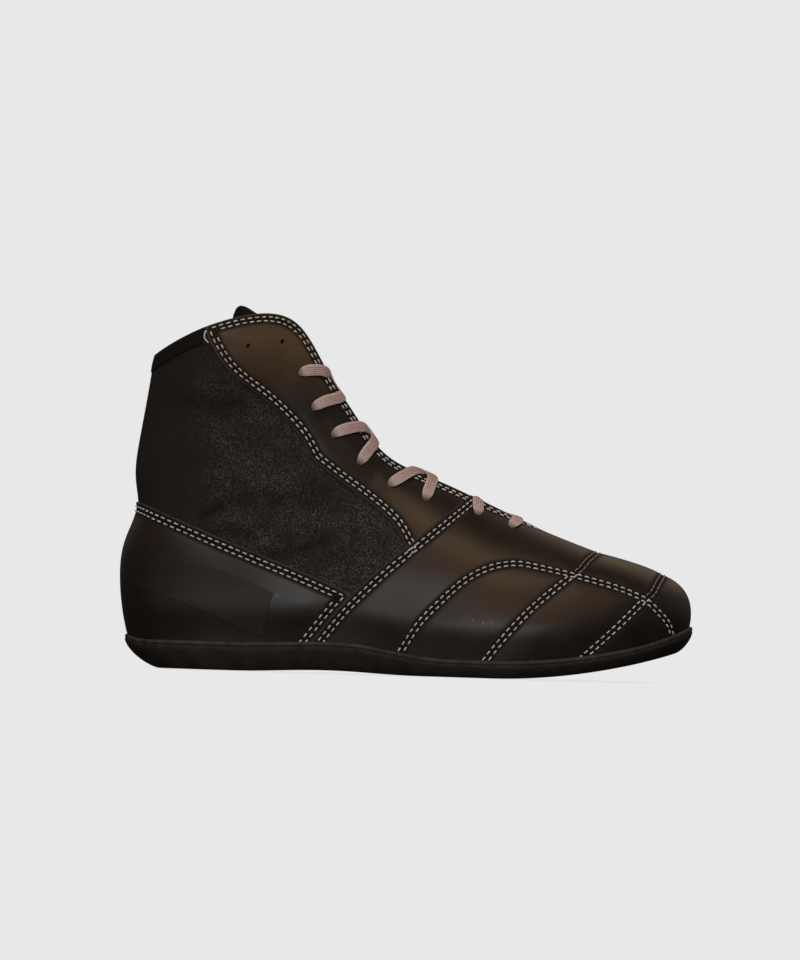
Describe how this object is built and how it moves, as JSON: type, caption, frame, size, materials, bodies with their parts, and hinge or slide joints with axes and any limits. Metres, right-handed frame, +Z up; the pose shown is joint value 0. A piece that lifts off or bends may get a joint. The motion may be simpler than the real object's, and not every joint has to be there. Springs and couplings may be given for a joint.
{
  "type": "boxing shoe",
  "caption": "High laced boxing shoe for the right foot: leather vamp, heel counter and eyestays over a textile upper on a thin rubber cup sole, with padded tongue and flat lace.",
  "frame": {"origin": "middle of the shoe's bounding box, on the floor it stands on", "axes": "+X from heel to toe, -Y the outer (lateral) side of the right foot, +Z up"},
  "size_m": [0.2872, 0.096, 0.182],
  "materials": {
    "sole_rubber": "matte black rubber with a worn paler edge along the rim",
    "leather": "smooth black satin leather with pale double stitching",
    "textile": "black twill canvas with fine paler flecks",
    "binding_tape": "matte black woven tape",
    "lining": "dark lining cloth",
    "lace": "flat braided mauve-pink cotton lace"
  },
  "bodies": {
    "root": {"outsole": "sole_rubber", "insole": "lining", "upper": "textile", "vamp": "leather", "heel_counter": "leather", "eyestay_lateral": "leather", "eyestay_medial": "leather", "collar_binding": "binding_tape", "tongue": "lining", "lace_cross_1": "lace", "lace_cross_2": "lace", "lace_cross_3": "lace", "lace_cross_4": "lace"}
  },
  "joints": []
}
